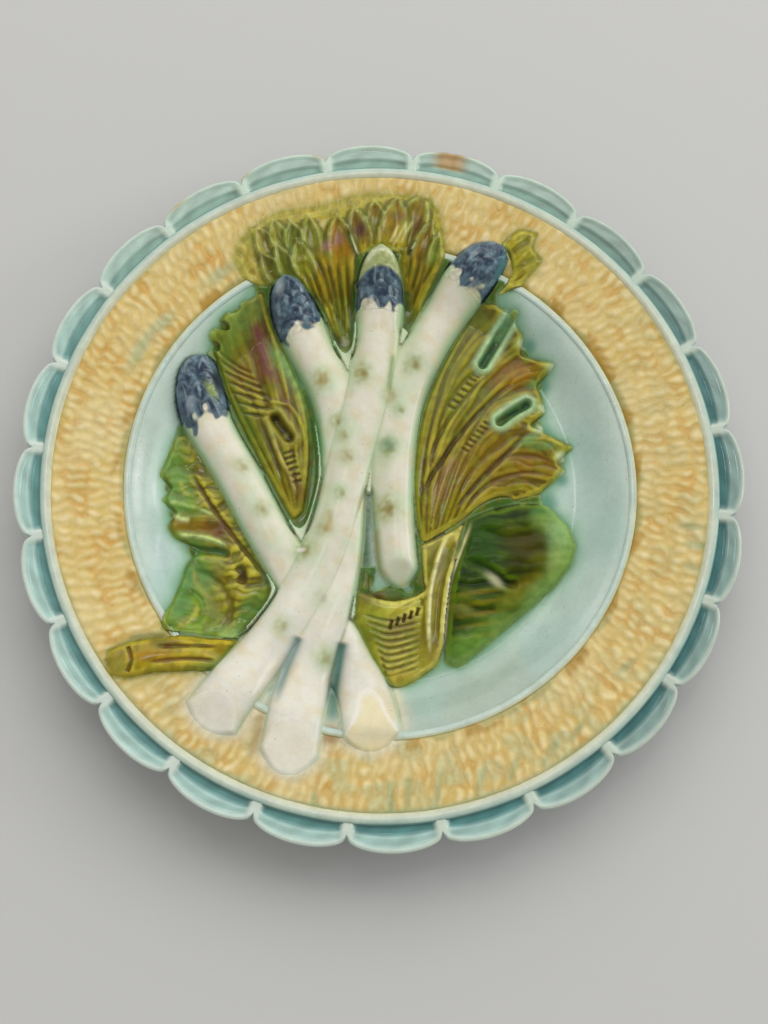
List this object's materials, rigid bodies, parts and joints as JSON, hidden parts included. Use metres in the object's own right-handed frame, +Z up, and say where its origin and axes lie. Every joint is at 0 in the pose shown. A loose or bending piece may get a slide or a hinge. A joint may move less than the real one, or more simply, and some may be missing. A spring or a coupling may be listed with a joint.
{
  "type": "asparagus plate",
  "caption": "Round majolica dinner plate with a petal edge, a woven yellow flange and white asparagus spears on green leaves in relief across the well.",
  "frame": {"origin": "centre of the foot ring's underside, on the table", "axes": "+Z up out of the well, +Y towards the spears' tips, +X to the right seen from above"},
  "size_m": [0.2308, 0.2308, 0.0248],
  "materials": {
    "body_glaze": "glossy pale aqua glaze",
    "foot_clay": "satin cream glaze worn to the clay on the foot",
    "petal_glaze": "glossy teal glaze, pale on the raised borders",
    "bead_glaze": "glossy pale grey-green glaze",
    "band_glaze": "glossy honey yellow glaze",
    "spear_glaze": "glossy cream glaze with mint green at the edges",
    "tip_glaze": "glossy slate blue glaze",
    "leaf_glaze": "glossy olive brown glaze",
    "fold_glaze": "glossy dark green and brown glaze"
  },
  "bodies": {
    "root": {"plate_body": "body_glaze", "foot_ring": "foot_clay", "petal_rim": "petal_glaze", "rim_bead": "bead_glaze", "basketwork_band": "band_glaze", "lip_bead": "body_glaze", "spear_a": "spear_glaze", "spear_b": "spear_glaze", "spear_c": "spear_glaze", "spear_d": "spear_glaze", "tip_a": "tip_glaze", "tip_b": "tip_glaze", "tip_c": "tip_glaze", "tip_d": "tip_glaze", "leaf_right": "leaf_glaze", "leaf_right_fold": "fold_glaze", "leaf_right_stalk": "leaf_glaze", "leaf_left_inner": "leaf_glaze", "leaf_left_outer": "leaf_glaze", "leaf_left_stalk": "leaf_glaze", "leaf_top_left": "leaf_glaze", "leaf_top_near": "leaf_glaze", "leaf_top_middle": "leaf_glaze", "leaf_top_far": "leaf_glaze", "leaf_top_right": "leaf_glaze"}
  },
  "joints": []
}
